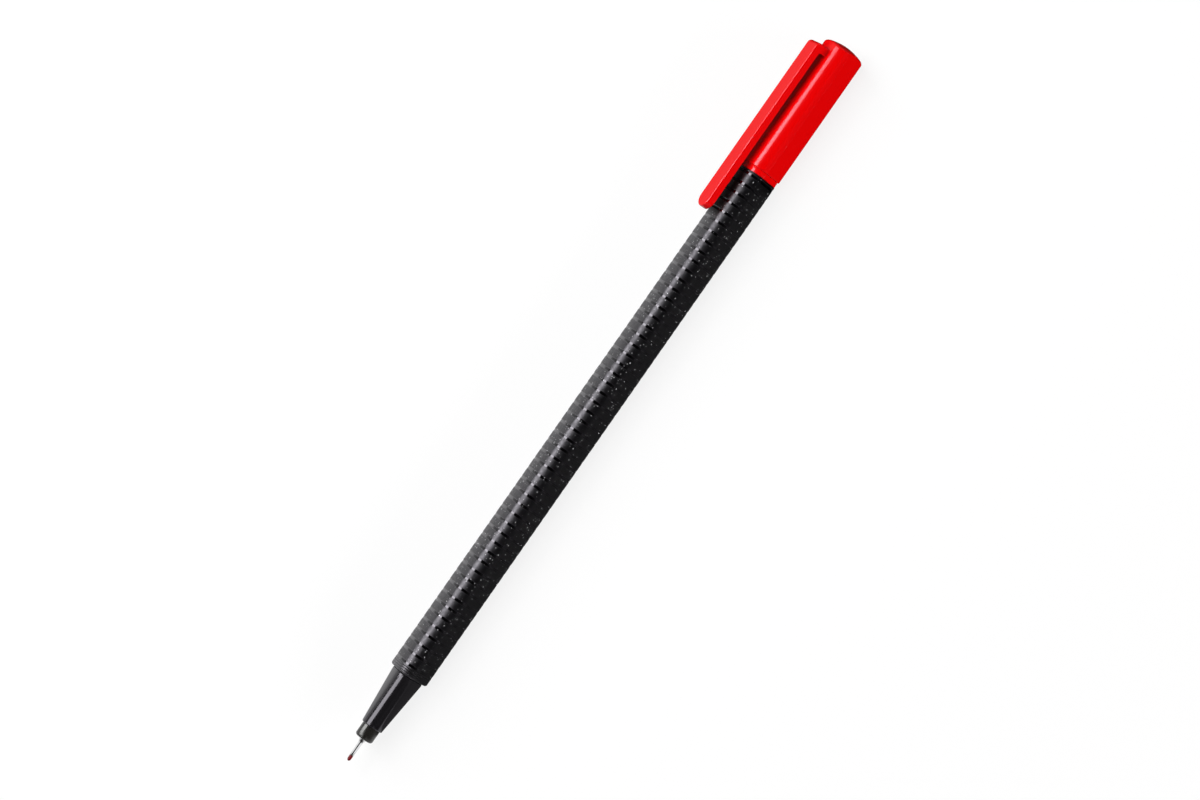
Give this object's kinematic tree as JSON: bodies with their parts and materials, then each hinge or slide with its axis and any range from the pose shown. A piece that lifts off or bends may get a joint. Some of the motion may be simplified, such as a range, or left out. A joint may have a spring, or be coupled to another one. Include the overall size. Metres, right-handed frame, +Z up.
{
  "type": "fineliner pen",
  "caption": "Slim fineliner pen with a rounded triangular barrel, metal-sheathed fibre tip and a clip cap pushed onto the back end.",
  "frame": {"origin": "the writing tip, on the pen's axis", "axes": "+X along the pen from the tip to the cap, +Z up from the flat it lies on, clip on the +Y side"},
  "size_m": [0.1689, 0.0112, 0.0088],
  "materials": {
    "barrel_plastic": "matt black with fine pale specks and polished cross bands",
    "nose_plastic": "smooth gloss black",
    "nib_steel": "bright drawn steel",
    "inked_fibre": "red-inked fibre",
    "ink_core": "red-inked bonded fibre",
    "clear_film": "clear film",
    "red_plastic": "smooth gloss red",
    "seal_plastic": "natural white"
  },
  "bodies": {
    "pen_body": {"barrel": "barrel_plastic", "front_section": "nose_plastic", "nib_holder": "nose_plastic", "nib_sleeve": "nib_steel", "fibre_nib": "inked_fibre", "ink_reservoir": "ink_core", "reservoir_wrap": "clear_film", "end_plug": "red_plastic"},
    "cap": {"cap_shell": "red_plastic", "inner_cap": "seal_plastic"},
    "clip": {"cap_clip": "red_plastic"}
  },
  "joints": [
    {"name": "cap_pull", "type": "slide", "parent": "pen_body", "child": "cap", "axis": [1, 0, 0], "range_m": [0, 0.028]},
    {"name": "clip_flex", "type": "hinge", "parent": "cap", "child": "clip", "pos_m": [0.16635, 0.00314, 0.00181], "axis": [0, 0.5, -0.866], "range_deg": [0, 3], "stiffness_Nm_per_rad": 0.25}
  ]
}
